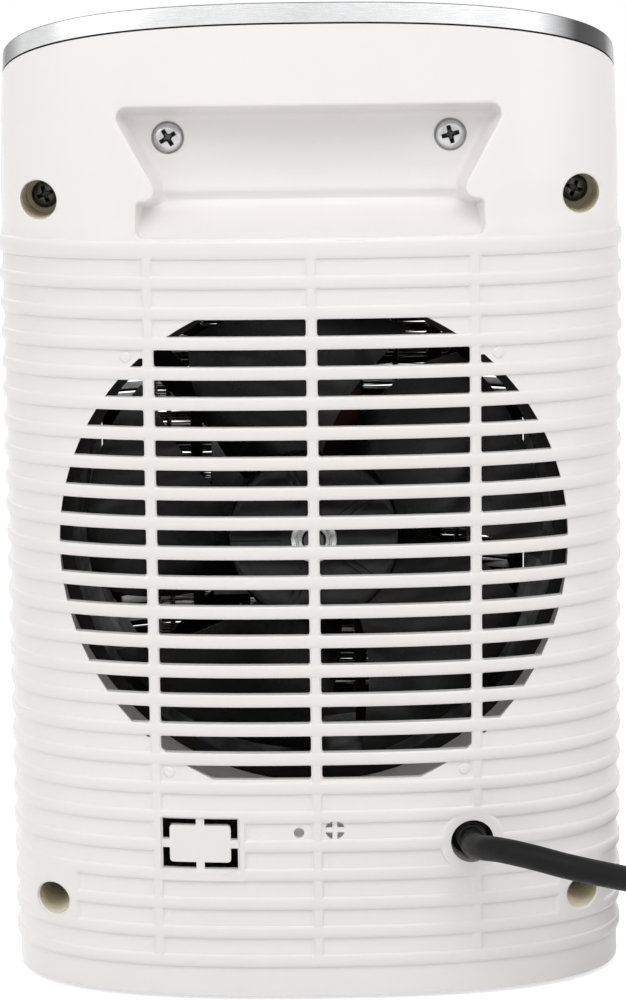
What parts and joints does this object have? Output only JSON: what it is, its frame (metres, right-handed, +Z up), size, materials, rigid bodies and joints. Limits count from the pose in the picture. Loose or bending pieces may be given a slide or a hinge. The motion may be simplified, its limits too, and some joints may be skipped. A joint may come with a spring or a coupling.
{
  "type": "bathroom wall fan heater",
  "caption": "Oval white bathroom fan heater with a ribbed rear air intake, grip recess, tilted control panel, front outlet grille and a coiled mains lead.",
  "frame": {"origin": "on the floor under the middle of the heater's own box, the mains lead left out", "axes": "+Z up, the outlet grille faces -Y, the ribbed rear with the intake, grip recess and lead faces +Y, +X to the right seen from the front"},
  "size_m": [0.3104, 0.1523, 0.2852],
  "materials": {
    "shell_gloss": "glossy moulded warm white",
    "shell_satin": "moulded warm white, softly glossy",
    "trim_metal": "brushed, fine lines round the ring",
    "black_plastic": "moulded, fine grain",
    "knob_black": "fine grain with a white pointer",
    "rubber_black": "matt",
    "cord_black": "matt sheath",
    "steel": "zinc plated",
    "dark_steel": "laminated, blued",
    "mica": "layered, silvery brown",
    "nichrome": "bright drawn wire",
    "copper": "enamelled copper winding",
    "bronze": "sintered",
    "phenolic": "dark brown, matt",
    "ceramic": "off-white, matt",
    "lens_amber": "clear amber",
    "pin_metal": "nickel plated"
  },
  "bodies": {
    "casing": {"rear_shell": "shell_satin", "front_shell": "shell_gloss", "outlet_grille": "black_plastic", "top_trim_ring": "trim_metal", "top_panel": "shell_gloss", "base_plate": "black_plastic", "foot_front_left": "rubber_black", "foot_front_right": "rubber_black", "foot_rear_left": "rubber_black", "foot_rear_right": "rubber_black", "corner_screw_top_left": "steel", "corner_screw_top_right": "steel", "corner_screw_bottom_left": "steel", "corner_screw_bottom_right": "steel", "recess_screw_left": "steel", "recess_screw_right": "steel", "fan_duct": "black_plastic", "motor_core": "dark_steel", "motor_coil": "copper", "motor_rear_bracket": "steel", "motor_rear_bearing": "bronze", "motor_front_bracket": "steel", "motor_front_bearing": "bronze", "motor_mount": "steel", "motor_screw_left": "dark_steel", "motor_screw_right": "dark_steel", "heater_frame": "steel", "mica_board_1": "mica", "mica_board_2": "mica", "mica_board_3": "mica", "mica_board_4": "mica", "heater_wire": "nichrome", "thermal_cutout": "ceramic", "thermal_fuse": "steel", "terminal_block": "ceramic", "thermostat_body": "ceramic", "selector_body": "phenolic", "indicator_lens": "lens_amber", "cord_gland": "rubber_black", "mains_cord": "cord_black", "cord_coil": "cord_black", "cord_tail": "cord_black", "coil_tie": "rubber_black", "plug_body": "rubber_black", "plug_pin_left": "pin_metal", "plug_pin_right": "pin_metal"},
    "fan": {"motor_rotor": "steel", "fan_impeller": "black_plastic", "fan_nut": "steel"},
    "thermostat": {"thermostat_spindle": "steel", "thermostat_knob": "knob_black"},
    "selector": {"selector_spindle": "steel", "selector_knob": "knob_black"}
  },
  "joints": [
    {"name": "fan_spin", "type": "hinge", "parent": "casing", "child": "fan", "pos_m": [0, 0.0099, 0.1323], "axis": [0, 1, 0], "continuous": true},
    {"name": "thermostat_turn", "type": "hinge", "parent": "casing", "child": "thermostat", "pos_m": [-0.036, -0.0021, 0.26202], "axis": [0, -0.3387, 0.9409], "range_deg": [-135, 135]},
    {"name": "selector_turn", "type": "hinge", "parent": "casing", "child": "selector", "pos_m": [0.036, -0.0021, 0.26202], "axis": [0, -0.3387, 0.9409], "range_deg": [-135, 0]}
  ]
}
